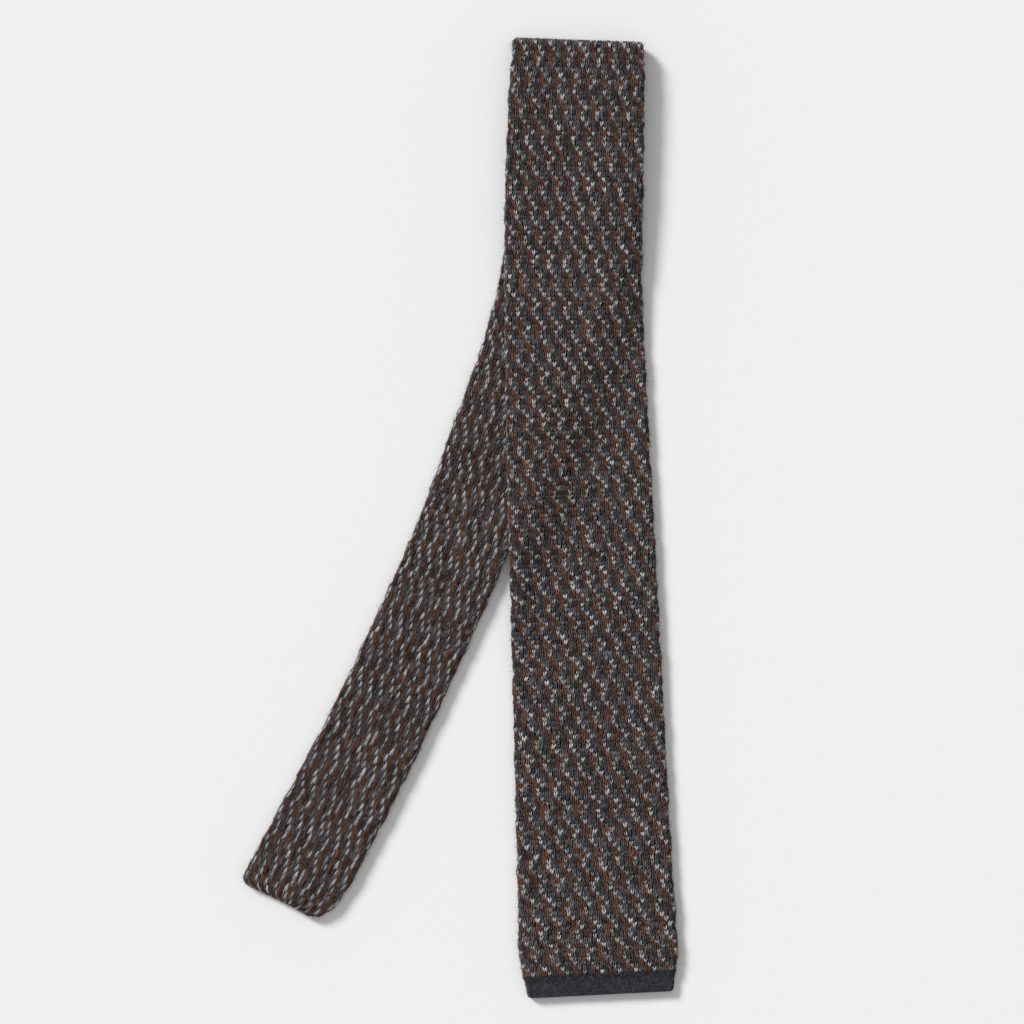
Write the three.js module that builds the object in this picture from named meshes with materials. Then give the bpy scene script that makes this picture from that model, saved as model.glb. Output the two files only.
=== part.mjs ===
// A knit tie lying flat, folded once across so that its tail shows beside its blade.
// It is one long tube of jacquard knit pressed flat, with a plain knitted band on the blade's end
// and a joining yarn down the centre of its back.
// Millimetres. X runs to the right across the blade, Y from the blade's end towards the fold,
// and Z up from the surface that the tie lies on. The blade lies face up, the tail face down.

import * as THREE from 'three';

// Driving sizes of the tube
const bladeLength = 368; // from the fold's outer edge to the band's lower edge
const bladeWidth = 60; // across the blade's lower part
const tailLength = 355; // from the fold's outer edge to the tail's end
const tailWidth = 39; // across the tail's lower part
const knitWall = 1.7; // one wall of jacquard knit
const slitHeight = 0.4; // the hollow that is left between the two walls
const foldLean = 2; // degrees that both halves lean to the left where they leave the fold

// How the blade lies on the tail
const layerGap = 0.3; // between the tail's back and the blade's back
const drapeRun = 18; // how far beside the tail the blade comes down to the surface

// The tail's end
const tailTip = 0.35; // share of the thickness left at the very end
const leftCornerLength = 5;
const leftCornerBreadth = 6.5;
const rightCornerLength = 18;
const rightCornerBreadth = 10;

// The band on the blade's end
const bandLength = 8;
const bandWidth = 58.6; // where it meets the blade
const bandTaper = 2.2; // by how much it is narrower at its lower edge
const bandCorner = 1.6;
const bandWall = 1.4; // one wall of the finer plain knit

// The joining yarn in its groove
const seamWidth = 2;
const seamThickness = 0.6;
const seamRecess = 0.1; // below the knit's surface
const seamEnd = 4; // distance from the seam to the tail's end

// Clearance between separate pieces
const fitGap = 0.3;

// How finely the curves are cut
const columns = 6; // flat facets across one face
const sideSteps = 4; // facets round one side
const foldSteps = 6; // facets round the fold
const endSteps = 7; // facets along the tail's rounded corners
const bandCornerSteps = 3;
const stationPitch = 8; // length of one facet along the tie
const lineSteps = 120; // steps that the centre line is summed in

// The blade from the fold down. along is a share of the length, lean is in degrees to the left,
// and width is a share of bladeWidth.
const BLADE = [
  { along: 0, lean: foldLean, width: 0.84 },
  { along: 0.04, lean: 1.8, width: 0.868 },
  { along: 0.15, lean: 1.2, width: 0.888 },
  { along: 0.25, lean: -0.7, width: 0.882 },
  { along: 0.35, lean: -1.9, width: 0.905 },
  { along: 0.5, lean: -2.4, width: 0.937 },
  { along: 0.75, lean: -2.1, width: 0.974 },
  { along: 0.88, lean: -2.5, width: 1 },
  { along: 0.957, lean: -2.8, width: 1.028 },
  { along: 0.972, lean: -2.9, width: 0.996 },
  { along: 1, lean: -2.9, width: 0.985 },
];

// The tail from the fold down. width is a share of tailWidth, and flare is the share that is
// left of the difference between the blade's width at the fold and the tail's width.
const TAIL = [
  { along: 0, lean: foldLean, width: 1, flare: 1 },
  { along: 0.12, lean: 4, width: 1, flare: 0.6 },
  { along: 0.28, lean: 15, width: 1, flare: 0.16 },
  { along: 0.38, lean: 21.5, width: 0.98, flare: 0.04 },
  { along: 0.5, lean: 19.5, width: 0.975, flare: 0 },
  { along: 0.62, lean: 24.5, width: 0.975, flare: 0 },
  { along: 0.74, lean: 25, width: 0.975, flare: 0 },
  { along: 0.86, lean: 28, width: 1, flare: 0 },
  { along: 1, lean: 28, width: 1.01, flare: 0 },
];

// What follows from the driving sizes
const layerThickness = 2 * knitWall + slitHeight; // of the whole flat tube
const bandThickness = 2 * bandWall + slitHeight;
const foldRadius = (layerThickness + layerGap) / 2; // of the tube's middle round the fold
const foldReach = foldRadius + layerThickness / 2; // from the fold's axis to its outer edge
const bladeRun = bladeLength - foldReach;
const tailRun = tailLength - foldReach;
const bodyRun = bladeRun - bandLength - fitGap; // from the fold's axis to the band
const foldWidth = bladeWidth * BLADE[0].width;
const tailHeight = layerThickness / 2; // of the tail's middle above the surface
const grooveWidth = seamWidth + 2 * fitGap;
const grooveDepth = seamRecess + seamThickness + fitGap;

const { degToRad, smoothstep } = THREE.MathUtils;

// A column of a table at a share of the length
function valueAt(rows, column, share) {
  const next = rows.findIndex((row) => row.along >= share);
  if (next < 0) {
    return rows[rows.length - 1][column];
  }
  if (next === 0) {
    return rows[0][column];
  }
  const before = rows[next - 1];
  const after = rows[next];
  const part = (share - before.along) / (after.along - before.along);
  return before[column] + (after[column] - before[column]) * part;
}

// The centre line in plan, summed from the lean: a point and the direction across the tie there
function planAt(rows, run, distance) {
  const step = distance / lineSteps;
  const point = new THREE.Vector3();
  for (let i = 0; i < lineSteps; i += 1) {
    const lean = degToRad(valueAt(rows, 'lean', ((i + 0.5) * step) / run));
    point.x -= Math.sin(lean) * step;
    point.y -= Math.cos(lean) * step;
  }
  const lean = degToRad(valueAt(rows, 'lean', distance / run));
  const across = new THREE.Vector3(Math.cos(lean), -Math.sin(lean), 0);
  return { point, across };
}

// A rounded corner takes this much off the width, at a distance from the end
function cornerCut(fromEnd, length, breadth) {
  const inside = THREE.MathUtils.clamp(1 - fromEnd / length, 0, 1);
  return breadth * (1 - Math.sqrt(1 - inside * inside));
}

// Stations of a frame along the tie hold a middle point, the directions across and out of the
// front face, the reach to the left and right side, and the share of the full thickness.
function tailStation(distance) {
  const { point, across } = planAt(TAIL, tailRun, distance);
  const share = distance / tailRun;
  const flare = valueAt(TAIL, 'flare', share) * (foldWidth - tailWidth);
  const half = (tailWidth * valueAt(TAIL, 'width', share) + flare) / 2;
  const fromEnd = tailRun - distance;
  const round = THREE.MathUtils.clamp(1 - fromEnd / tailHeight, 0, 1);
  point.z = tailHeight;
  return {
    middle: point,
    across,
    front: new THREE.Vector3(0, 0, -1),
    left: half - cornerCut(fromEnd, leftCornerLength, leftCornerBreadth),
    right: half - cornerCut(fromEnd, rightCornerLength, rightCornerBreadth),
    thick: tailTip + (1 - tailTip) * Math.sqrt(1 - round * round),
    drapes: false,
  };
}

function foldStation(turn) {
  const { across } = planAt(BLADE, bladeRun, 0);
  const up = new THREE.Vector3(-across.y, across.x, 0);
  const front = up.multiplyScalar(Math.sin(turn)).add(new THREE.Vector3(0, 0, Math.cos(turn)));
  const axis = new THREE.Vector3(0, 0, tailHeight + foldRadius);
  return {
    middle: axis.addScaledVector(front, foldRadius),
    across,
    front,
    left: foldWidth / 2,
    right: foldWidth / 2,
    thick: 1,
    drapes: false,
  };
}

function bladeStation(distance, width, thickness) {
  const { point, across } = planAt(BLADE, bladeRun, distance);
  point.z = thickness / 2;
  return {
    middle: point,
    across,
    front: new THREE.Vector3(0, 0, 1),
    left: width / 2,
    right: width / 2,
    thick: 1,
    drapes: true,
  };
}

// The tail's right side in plan, which the blade drapes over
const tailSide = [];
for (let distance = 0; distance <= tailRun; distance += stationPitch / 2) {
  const { middle, across, right } = tailStation(distance);
  tailSide.push({ side: middle.clone().addScaledVector(across, right), across });
}

// How far a point of the plan lies to the right of the tail
function besideTail(point) {
  const next = tailSide.findIndex(({ side }) => side.y < point.y);
  if (next < 0) {
    return drapeRun;
  }
  const { side, across } = tailSide[next];
  return point.clone().sub(side).setZ(0).dot(across);
}

// How high the blade is lifted there: the whole layer over the tail, nothing beside it
function lift(point) {
  const down = smoothstep(besideTail(point), 0, drapeRun);
  return (layerThickness + layerGap) * (1 - down);
}

// The corner points of a section go round it once. a is across and h towards the front face.
function outerSection(station, thickness, groove) {
  const half = (thickness * station.thick) / 2;
  const left = station.left - half;
  const right = station.right - half;
  const points = [];
  for (let i = 0; i <= columns; i += 1) {
    points.push({ a: right - ((right + left) * i) / columns, h: half });
  }
  for (let i = 1; i < sideSteps; i += 1) {
    const turn = (Math.PI * i) / sideSteps;
    points.push({ a: -left - half * Math.sin(turn), h: half * Math.cos(turn) });
  }
  const floor = -half + grooveDepth * station.thick;
  const back = [{ a: 0, h: -half }];
  if (groove) {
    back.splice(
      0,
      1,
      { a: -grooveWidth / 2, h: -half },
      { a: -grooveWidth / 2, h: floor },
      { a: grooveWidth / 2, h: floor },
      { a: grooveWidth / 2, h: -half },
    );
  }
  for (let i = 0; i < columns / 2; i += 1) {
    points.push({ a: -left + (2 * left * i) / columns, h: -half });
  }
  points.push(...back);
  for (let i = 1; i <= columns / 2; i += 1) {
    points.push({ a: (2 * right * i) / columns, h: -half });
  }
  for (let i = 1; i < sideSteps; i += 1) {
    const turn = (Math.PI * i) / sideSteps;
    points.push({ a: right + half * Math.sin(turn), h: -half * Math.cos(turn) });
  }
  return points;
}

// The slit inside the tube, as wide as the flat of the section, with the same columns
function slitSection(station, thickness) {
  const left = station.left - thickness / 2;
  const right = station.right - thickness / 2;
  const points = [];
  for (let i = 0; i <= columns; i += 1) {
    points.push({ a: right - ((right + left) * i) / columns, h: slitHeight / 2 });
  }
  for (let i = 0; i <= columns; i += 1) {
    points.push({ a: -left + ((right + left) * i) / columns, h: -slitHeight / 2 });
  }
  return points;
}

function stripSection(width, low, high) {
  return [
    { a: width / 2, h: high },
    { a: -width / 2, h: high },
    { a: -width / 2, h: low },
    { a: width / 2, h: low },
  ];
}

// A section's points in space. The groove and the yarn in it are lifted as one, level across.
function placed(station, points) {
  return points.map(({ a, h }) => {
    const point = station.middle.clone().addScaledVector(station.across, a);
    point.addScaledVector(station.front, h);
    if (station.drapes) {
      point.z += lift(Math.abs(a) <= grooveWidth / 2 ? station.middle : point);
    }
    return point;
  });
}

// Closed surfaces are collected as vertices and triangles.
function newSurface() {
  return { vertices: [], triangles: [] };
}

// A skin through sections with as many points each. Its first and last rings are returned.
function addSkin(surface, sections, inward) {
  const rings = sections.map((points) => {
    const start = surface.vertices.length;
    surface.vertices.push(...points);
    return points.map((_, i) => start + i);
  });
  for (let s = 1; s < rings.length; s += 1) {
    const before = rings[s - 1];
    const after = rings[s];
    for (let i = 0; i < before.length; i += 1) {
      const j = (i + 1) % before.length;
      addPanel(surface, [before[i], after[i], after[j], before[j]], inward);
    }
  }
  return { first: rings[0], last: rings[rings.length - 1] };
}

// A four-cornered panel is split along its shorter diagonal, so that both faces of a wall agree.
function addPanel(surface, [a, b, c, d], turned) {
  const length = (from, to) => surface.vertices[from].distanceTo(surface.vertices[to]);
  if (length(a, c) <= length(b, d)) {
    addTriangle(surface, [a, b, c], turned);
    addTriangle(surface, [a, c, d], turned);
  } else {
    addTriangle(surface, [a, b, d], turned);
    addTriangle(surface, [b, c, d], turned);
  }
}

function addTriangle(surface, corners, turned) {
  const [a, b, c] = corners;
  surface.triangles.push(...(turned ? [a, c, b] : [a, b, c]));
}

// A flat cap over a ring, with the opening of the slit left out of it
function addCap(surface, ring, points, opening, openingPoints, turned) {
  const flat = points.map(({ a, h }) => new THREE.Vector2(a, h));
  const hole = openingPoints.map(({ a, h }) => new THREE.Vector2(a, h));
  const corners = [...ring, ...opening];
  const holes = hole.length ? [hole] : [];
  for (const face of THREE.ShapeUtils.triangulateShape(flat, holes)) {
    addTriangle(surface, face.map((i) => corners[i]), turned);
  }
}

function makeMesh(name, surface, material) {
  const geometry = new THREE.BufferGeometry().setFromPoints(surface.vertices);
  geometry.setIndex(surface.triangles);
  geometry.computeVertexNormals();
  const mesh = new THREE.Mesh(geometry, material);
  mesh.name = name;
  return mesh;
}

// Distances from the start to the end, in equal steps no longer than the pitch
function distances(start, end, pitch) {
  const count = Math.max(1, Math.ceil(Math.abs(end - start) / pitch));
  return Array.from({ length: count + 1 }, (_, i) => start + ((end - start) * i) / count);
}

// Stations from a distance on the blade up to the fold
function bladeStations(from) {
  const widthAt = (distance) => bladeWidth * valueAt(BLADE, 'width', distance / bladeRun);
  return distances(from, 0, stationPitch)
    .slice(0, -1)
    .map((distance) => bladeStation(distance, widthAt(distance), layerThickness));
}

// Stations round the fold and down the tail, closer together over its rounded corners, and
// ending where this much of the tail is left
function foldAndTailStations(left) {
  const cornerReach = Math.max(leftCornerLength, rightCornerLength);
  const turns = distances(0, Math.PI, Math.PI / foldSteps).map(foldStation);
  const straight = distances(0, tailRun - cornerReach, stationPitch).slice(1);
  for (let i = 1; i <= endSteps; i += 1) {
    const fromEnd = cornerReach * (1 - Math.sin((Math.PI * i) / (2 * endSteps)));
    if (fromEnd >= left) {
      straight.push(tailRun - fromEnd);
    }
  }
  return [...turns, ...straight.map(tailStation)];
}

// The body: the whole tube, hollow, open at the band and closed at the tail's end
function knitBody() {
  const outside = [...bladeStations(bodyRun), ...foldAndTailStations(0)];
  const inside = [...bladeStations(bodyRun), ...foldAndTailStations(2 * knitWall)];
  const surface = newSurface();
  const outer = outside.map((station) => outerSection(station, layerThickness, true));
  const inner = inside.map((station) => slitSection(station, layerThickness));
  const skin = addSkin(surface, outside.map((station, i) => placed(station, outer[i])), false);
  const hollow = addSkin(surface, inside.map((station, i) => placed(station, inner[i])), true);
  addCap(surface, skin.first, outer[0], hollow.first, inner[0], false);
  addCap(surface, skin.last, outer[outer.length - 1], [], [], true);
  addCap(surface, hollow.last, inner[inner.length - 1], [], [], false);
  return surface;
}

// The band: a short tube, a little narrower and thinner, with rounded lower corners
function endBand() {
  const start = bladeRun - bandLength;
  const steps = distances(start, bladeRun - bandCorner, stationPitch / 2);
  for (let i = 1; i <= bandCornerSteps; i += 1) {
    steps.push(bladeRun - bandCorner * (1 - Math.sin((Math.PI * i) / (2 * bandCornerSteps))));
  }
  const stations = steps.reverse().map((distance) => {
    const taper = (bandTaper * (distance - start)) / bandLength;
    const corner = cornerCut(bladeRun - distance, bandCorner, bandCorner);
    return bladeStation(distance, bandWidth - taper - 2 * corner, bandThickness);
  });
  const surface = newSurface();
  const outer = stations.map((station) => outerSection(station, bandThickness, false));
  const inner = stations.map((station) => slitSection(station, bandThickness));
  const skin = addSkin(surface, stations.map((station, i) => placed(station, outer[i])), false);
  const hollow = addSkin(surface, stations.map((station, i) => placed(station, inner[i])), true);
  const end = stations.length - 1;
  addCap(surface, skin.first, outer[0], hollow.first, inner[0], false);
  addCap(surface, skin.last, outer[end], hollow.last, inner[end], true);
  return surface;
}

// The joining yarn: a flat strip in the back's groove, round the inside of the fold too
function backSeam() {
  const stations = [...bladeStations(bodyRun), ...foldAndTailStations(seamEnd)];
  const high = -layerThickness / 2 + seamRecess + seamThickness;
  const section = stripSection(seamWidth, high - seamThickness, high);
  const surface = newSurface();
  const skin = addSkin(surface, stations.map((station) => placed(station, section)), false);
  addCap(surface, skin.first, section, [], [], false);
  addCap(surface, skin.last, section, [], [], true);
  return surface;
}

const jacquardKnit = new THREE.MeshStandardMaterial({ color: 0x4a413f, roughness: 0.95 });
const charcoalKnit = new THREE.MeshStandardMaterial({ color: 0x34323a, roughness: 0.95 });
const joiningYarn = new THREE.MeshStandardMaterial({ color: 0x3a2a26, roughness: 0.95 });

const tie = new THREE.Group();
tie.add(makeMesh('knit_body', knitBody(), jacquardKnit));
tie.add(makeMesh('end_band', endBand(), charcoalKnit));
tie.add(makeMesh('back_seam', backSeam(), joiningYarn));

// The origin is below the middle of the whole tie, on the surface that it lies on.
const bounds = new THREE.Box3().setFromObject(tie);
const middle = bounds.getCenter(new THREE.Vector3());
tie.position.set(-middle.x, -middle.y, -bounds.min.z);

export default tie;
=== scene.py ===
# %% [markdown]
# # A knit tie, folded once and lying flat
#
# The real thing is one long flattened tube of jacquard knit in three wools: charcoal, brown and
# grey. It is folded across once, so that the narrow tail shows, back up, beside the blade. A band
# of finer plain knit ends the blade, and a joining yarn runs down the centre of the tube's back.
#
# A knit can be faked with a bump on a smooth sheet, but its stitches are nearly two millimetres
# long and show along every edge. So this lesson makes a thin ground tube and lays every stitch on
# it as its own little shape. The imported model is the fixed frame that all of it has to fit.

import bmesh
import bpy
import numpy as np
from mathutils import Matrix, Vector


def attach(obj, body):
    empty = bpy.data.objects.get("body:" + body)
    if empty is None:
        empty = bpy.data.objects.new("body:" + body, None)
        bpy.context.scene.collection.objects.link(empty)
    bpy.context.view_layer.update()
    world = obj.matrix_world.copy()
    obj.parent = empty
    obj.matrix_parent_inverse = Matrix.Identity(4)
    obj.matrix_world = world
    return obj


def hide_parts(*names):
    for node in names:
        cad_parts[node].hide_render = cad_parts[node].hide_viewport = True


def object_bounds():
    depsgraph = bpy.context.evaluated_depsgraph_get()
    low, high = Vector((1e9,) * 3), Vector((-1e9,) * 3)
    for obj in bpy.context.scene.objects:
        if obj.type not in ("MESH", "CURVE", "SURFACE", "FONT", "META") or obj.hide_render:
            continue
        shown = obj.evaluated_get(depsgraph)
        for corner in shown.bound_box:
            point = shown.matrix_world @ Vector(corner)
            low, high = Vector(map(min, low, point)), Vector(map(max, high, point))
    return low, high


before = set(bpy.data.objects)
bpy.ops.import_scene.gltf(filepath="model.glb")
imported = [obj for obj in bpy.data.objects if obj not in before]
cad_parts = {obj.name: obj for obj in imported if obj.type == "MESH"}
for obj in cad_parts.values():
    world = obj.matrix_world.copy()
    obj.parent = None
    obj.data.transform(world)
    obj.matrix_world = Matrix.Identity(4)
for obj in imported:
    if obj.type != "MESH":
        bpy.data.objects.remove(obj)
cad_box = [list(corner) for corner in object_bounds()]
MM = 0.001
print("nodes:", sorted(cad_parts), "box:", cad_box)

# %% [markdown]
# ## The camera
#
# The photograph looks straight down on the tie. A long lens keeps the two layers in place as they
# lie at different heights. The picture's width is 1024 pixels at 2.6 pixels a millimetre, and the
# middle of the picture lies a little to the right of the middle of the tie.

# %% Camera straight above
PIXELS_PER_MM = 2.6
PICTURE_PIXELS = 1024
PICTURE_MIDDLE = (19.8, 2.4)  # mm from the origin
LENS = 100.0  # mm
SENSOR = 36.0  # mm
TIE_LEVEL = 4.0  # mm above the floor, where the scale holds

picture_width = PICTURE_PIXELS / PIXELS_PER_MM
camera_height = picture_width * LENS / SENSOR + TIE_LEVEL
camera_data = bpy.data.cameras.new("camera")
camera_data.lens = LENS
camera_data.sensor_width = SENSOR
camera = bpy.data.objects.new("camera", camera_data)
camera.location = [v * MM for v in (*PICTURE_MIDDLE, camera_height)]
bpy.context.collection.objects.link(camera)
bpy.context.scene.camera = camera
print("camera height in mm:", round(camera_height, 1))

# %% [markdown]
# ## The table and the light
#
# The tie lies on a pale, even surface, and a fairly low light from the upper left gives a short soft
# shadow to the right and below. It also picks out every strand that leans up to the right. A lamp
# near the table would darken its corners, so the light is a sun with a wide angle, and a white
# world fills the shadows. The view transform is Standard, which keeps the colours as they are set.

# %% Floor, sun and world
FLOOR_SIZE = 4.0  # m
FLOOR_COLOR = (0.84, 0.84, 0.84, 1)
SUN_STRENGTH = 3.41
SUN_ANGLE = 16.0  # degrees across
SUN_FROM = (-1.1, 1.0, 0.85)
WORLD_STRENGTH = 0.49

mesh = bpy.data.meshes.new("floor")
bm = bmesh.new()
bmesh.ops.create_grid(bm, x_segments=1, y_segments=1, size=FLOOR_SIZE / 2)
bm.to_mesh(mesh)
bm.free()
floor = bpy.data.objects.new("floor", mesh)
bpy.context.collection.objects.link(floor)

sun_data = bpy.data.lights.new("sun", "SUN")
sun_data.energy = SUN_STRENGTH
sun_data.angle = np.radians(SUN_ANGLE)
sun = bpy.data.objects.new("sun", sun_data)
sun.rotation_euler = Vector(SUN_FROM).to_track_quat("Z", "Y").to_euler()
bpy.context.collection.objects.link(sun)

world = bpy.data.worlds.new("world")
world.use_nodes = True
world.node_tree.nodes["Background"].inputs["Strength"].default_value = WORLD_STRENGTH
world.node_tree.nodes["Background"].inputs["Color"].default_value = (1, 1, 1, 1)
bpy.context.scene.world = world
bpy.context.scene.view_settings.view_transform = "Standard"
print("sun and world:", SUN_STRENGTH, WORLD_STRENGTH)

# %% [markdown]
# ## The tube's sizes and its course
#
# The tie's width and direction change slowly from the fold to either end. They are kept in two
# short tables, the same ones that the solids were made from: how far along, how many degrees the
# tie leans to the left there, and how wide it is. The tail's table also says how much of the
# fold's greater width is still left. Everything laid on the tie later follows them.

# %% Sizes in millimetres
BLADE_LENGTH = 368.0
BLADE_WIDTH = 60.0
TAIL_LENGTH = 355.0
TAIL_WIDTH = 39.0
KNIT_WALL = 1.7
SLIT_HEIGHT = 0.4
LAYER_GAP = 0.3
DRAPE_RUN = 18.0  # beside the tail, over which the blade comes down
TAIL_TIP = 0.15  # of the thickness is left at the very end
END_REACH = 1.7  # the tail's end hangs out a little past the solid's
END_HOLLOW = 1.3  # and its end line is drawn in at the middle
END_RUN = 25.0  # over which both set in
TAIL_TRIM = 1.0  # the tail's right edge lies this much inside the solid's
TRIM_SHARES = (0.2, 0.5)  # of the tail's length, between which the trim sets in
LEFT_CORNER = (4.0, 5.0)  # length and breadth
RIGHT_CORNER = (18.0, 10.0)
BAND_LENGTH = 8.0
BAND_WIDTH = 58.6
BAND_TAPER = 2.2  # its end is this much narrower than its start
BAND_CORNER = 1.1
BAND_WALL = 1.4
FIT_GAP = 0.3  # between the band and the body
FINE_STEP = 0.5  # between two stations along the tie
FOLD_STATIONS = 40
HAIRLINE = 1e-6  # radians by which the fold's stations stay clear of the straight parts

BLADE = {
    "along": (0, 0.04, 0.15, 0.25, 0.35, 0.5, 0.75, 0.88, 0.957, 0.972, 1),
    "lean": (2, 1.8, 1.2, -0.7, -1.9, -2.4, -2.1, -2.5, -2.8, -2.9, -2.9),
    "width": (0.84, 0.868, 0.888, 0.882, 0.905, 0.937, 0.974, 1, 1.028, 0.996, 0.985),
}
TAIL = {
    "along": (0, 0.12, 0.28, 0.38, 0.5, 0.62, 0.74, 0.86, 1),
    "lean": (2, 4, 15, 21.5, 19.5, 24.5, 25, 28, 28),
    "width": (1, 1, 1, 0.98, 0.975, 0.975, 0.975, 1, 1.01),
    "flare": (1, 0.6, 0.16, 0.04, 0, 0, 0, 0, 0),
}

LAYER = 2 * KNIT_WALL + SLIT_HEIGHT
FOLD_RADIUS = (LAYER + LAYER_GAP) / 2
FOLD_REACH = FOLD_RADIUS + LAYER / 2
BLADE_RUN = BLADE_LENGTH - FOLD_REACH
TAIL_RUN = TAIL_LENGTH - FOLD_REACH
FOLD_RUN = np.pi * (FOLD_RADIUS + LAYER / 4)  # of yarn round the fold
FOLD_WIDTH = BLADE_WIDTH * BLADE["width"][0]
TAIL_START = BLADE_RUN + FOLD_RUN
print("layer", LAYER, "blade run", BLADE_RUN, "fold run", round(FOLD_RUN, 2))

# %% [markdown]
# A station says where the flat tube is at one distance from the band's end: its middle, the
# directions across it and out of its front, its reach to the left and right, and half its
# thickness. The stations sit so close together that a straight line between two of them is as good
# as the curve. The middle line is a running sum of short steps in the direction that the table
# gives, and a corner is rounded by cutting the reach back along a quarter of an ellipse.

# %% What a station holds
ALONG, X, Y, Z, LEFT, RIGHT, HALF, DRAPES = range(8)
ACROSS_X, ACROSS_Y = 8, 9
FRONT_X, FRONT_Y, FRONT_Z = 11, 12, 13


def course(rows, run):
    distance = np.arange(0, run + FINE_STEP, FINE_STEP).clip(0, run)
    lean = np.radians(np.interp(distance / run, rows["along"], rows["lean"]))
    step = np.diff(distance)
    middle_lean = (lean[1:] + lean[:-1]) / 2
    x = -np.concatenate([[0], np.cumsum(np.sin(middle_lean) * step)])
    y = -np.concatenate([[0], np.cumsum(np.cos(middle_lean) * step)])
    return distance, lean, x, y


def corner_cut(from_end, length, breadth):
    inside = (1 - from_end / length).clip(0, 1)
    return breadth * (1 - np.sqrt(1 - inside**2))


def station_rows(along, lean, x, y, z, turn, left, right, half, drapes):
    across = np.stack([np.cos(lean), -np.sin(lean), 0 * lean], 1)
    up = np.stack([np.sin(lean), np.cos(lean), 0 * lean], 1)
    front = up * np.sin(turn)[:, None] + np.array([0, 0, 1]) * np.cos(turn)[:, None]
    columns = [along, x, y, z, left, right, half, drapes + 0 * lean]
    return np.concatenate([np.stack(columns, 1), across, front], 1)


print("the blade's run ends at", [round(v[-1], 1) for v in course(BLADE, BLADE_RUN)[2:]])

# %% [markdown]
# One long table of stations runs up the blade, round the fold and down the tail. Round the fold
# the front turns over by half a circle. Its first and last station stay a hair's breadth away from
# the straight parts, so that no point falls between a draped station and one that isn't.

# %% Stations along the tie
def blade_rows():
    distance, lean, x, y = course(BLADE, BLADE_RUN)
    reach = BLADE_WIDTH * np.interp(distance / BLADE_RUN, BLADE["along"], BLADE["width"]) / 2
    flat = 0 * distance
    rows = station_rows(
        BLADE_RUN - distance, lean, x, y, flat + LAYER / 2, flat, reach, reach, flat + LAYER / 2, 1
    )
    return rows[::-1]


def fold_rows():
    turn = np.linspace(HAIRLINE, np.pi - HAIRLINE, FOLD_STATIONS)
    flat = 0 * turn
    lean = flat + np.radians(BLADE["lean"][0])
    out = np.sin(turn) * FOLD_RADIUS
    height = LAYER / 2 + FOLD_RADIUS + np.cos(turn) * FOLD_RADIUS
    reach = flat + FOLD_WIDTH / 2
    along = BLADE_RUN + FOLD_RUN * turn / np.pi
    return station_rows(
        along, lean, np.sin(lean) * out, np.cos(lean) * out, height, turn, reach, reach,
        flat + LAYER / 2, 0,
    )


def tail_rows():
    distance, lean, x, y = course(TAIL, TAIL_RUN)
    share = distance / TAIL_RUN
    flare = np.interp(share, TAIL["along"], TAIL["flare"]) * (FOLD_WIDTH - TAIL_WIDTH)
    reach = (TAIL_WIDTH * np.interp(share, TAIL["along"], TAIL["width"]) + flare) / 2
    from_end = TAIL_RUN - distance
    left = reach - corner_cut(from_end, *LEFT_CORNER)
    trim = TAIL_TRIM * np.interp(share, TRIM_SHARES, (0, 1))
    right = reach - trim - corner_cut(from_end, *RIGHT_CORNER)
    rounding = (1 - from_end / (LAYER / 2)).clip(0, 1)
    thick = TAIL_TIP + (1 - TAIL_TIP) * np.sqrt(1 - rounding**2)
    flat = 0 * distance
    return station_rows(
        TAIL_START + distance, lean, x, y, flat + LAYER / 2, flat + np.pi, left, right,
        thick * LAYER / 2, 0,
    )


def band_rows():
    distance, lean, x, y = course(BLADE, BLADE_RUN)
    from_end = BLADE_RUN - distance
    taper = BAND_TAPER * (1 - from_end / BAND_LENGTH)
    reach = (BAND_WIDTH - taper) / 2 - corner_cut(from_end, BAND_CORNER, BAND_CORNER)
    half = 0 * distance + BAND_WALL + SLIT_HEIGHT / 2
    rows = station_rows(from_end, lean, x, y, half, 0 * distance, reach, reach, half, 1)
    return rows[::-1]


tie_stations = np.concatenate([blade_rows(), fold_rows(), tail_rows()])
band_stations = band_rows()
TIE_END = tie_stations[-1, ALONG]
END_ROUND = LAYER / 2  # radius of the rounding at the tail's end
END_FROM = TIE_END - END_ROUND
END_TO = END_FROM + END_ROUND * np.pi / 2  # the end's middle, measured over the rounding
print("stations:", len(tie_stations), "from end to end in mm:", round(TIE_END, 1))

# %% [markdown]
# The knitted edge isn't a ruled line: it swells and narrows by a few tenths of a millimetre
# every centimetre or two. A few slow waves with fixed random phases are added to the reach of
# each side. The tail's side, which the blade drapes over, is kept as a line of its own.

# %% A slightly uneven edge
EDGE_WAVES = (4.6, 9.0, 14.0, 23.0)  # mm long
EDGE_WAVE_HEIGHT = 0.12  # mm

rng = np.random.default_rng(7)
for side in (LEFT, RIGHT):
    for length in EDGE_WAVES:
        phase = rng.uniform(0, 2 * np.pi)
        wave = np.sin(2 * np.pi * tie_stations[:, ALONG] / length + phase)
        tie_stations[:, side] += EDGE_WAVE_HEIGHT * wave

tail_stations = tie_stations[tie_stations[:, ALONG] >= TAIL_START]
tail_across = tail_stations[:, [ACROSS_X, ACROSS_Y]]
tail_side = tail_stations[:, [X, Y]] + tail_across * tail_stations[:, [RIGHT]]
tail_lean_cosine = tail_stations[:, ACROSS_X]
print("tail's side from", tail_side[0].round(1), "to", tail_side[-1].round(1))

# %% [markdown]
# ## Laying a point on the tie
#
# Every later shape is made flat, in three numbers: how far round the tube, from the centre of its
# back by the left side, how far along from the band's end, and how high above the surface. They
# are turned into a place in space in three steps. The first is the drape: where the blade lies
# over the tail it is lifted by a whole layer, and beside the tail it comes down in a soft slope.

# %% How the blade is lifted
def smoothstep(value, low, high):
    share = ((value - low) / (high - low)).clip(0, 1)
    return share * share * (3 - 2 * share)


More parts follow.
